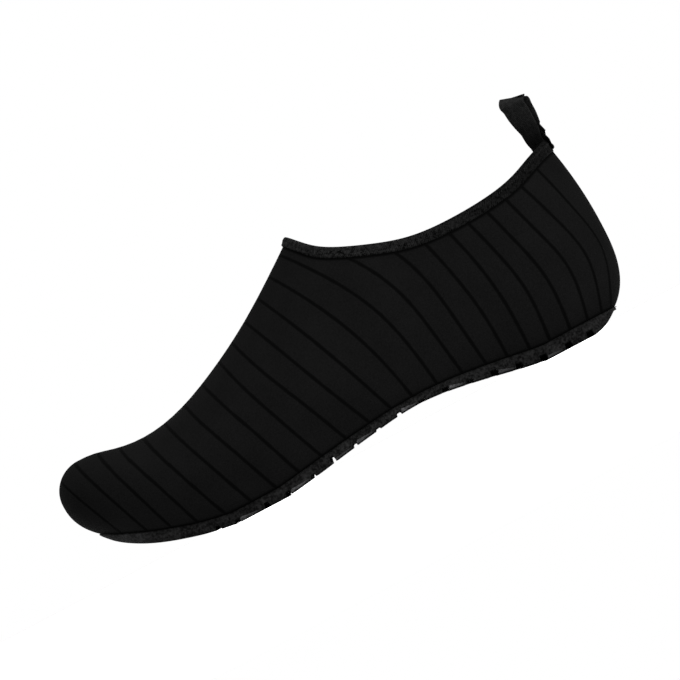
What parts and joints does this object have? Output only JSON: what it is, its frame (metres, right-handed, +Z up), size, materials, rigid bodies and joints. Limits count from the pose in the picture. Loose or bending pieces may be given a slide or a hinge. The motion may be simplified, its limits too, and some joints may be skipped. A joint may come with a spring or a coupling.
{
  "type": "water shoe",
  "caption": "Dark slip-on water shoe for the left foot: ridged stretch-knit upper, bound collar, heel pull loop and a thin lugged rubber outsole.",
  "frame": {"origin": "on the floor in the middle of the heel's flat resting spot, on the shoe's centre plane", "axes": "+X to the toe, +Y to the outer side of the left foot, +Z up out of the collar"},
  "size_m": [0.2499, 0.0921, 0.1039],
  "materials": {
    "upper_fabric": "matte stretch knit with dark printed ridges",
    "binding_knit": "ribbed elastic tape",
    "loop_tape": "smooth woven tape",
    "outsole_rubber": "satin moulded, finely speckled",
    "insole_fabric": "matte knit over foam"
  },
  "bodies": {
    "root": {"upper": "upper_fabric", "collar_binding": "binding_knit", "pull_loop": "loop_tape", "outsole": "outsole_rubber", "insole": "insole_fabric"}
  },
  "joints": []
}
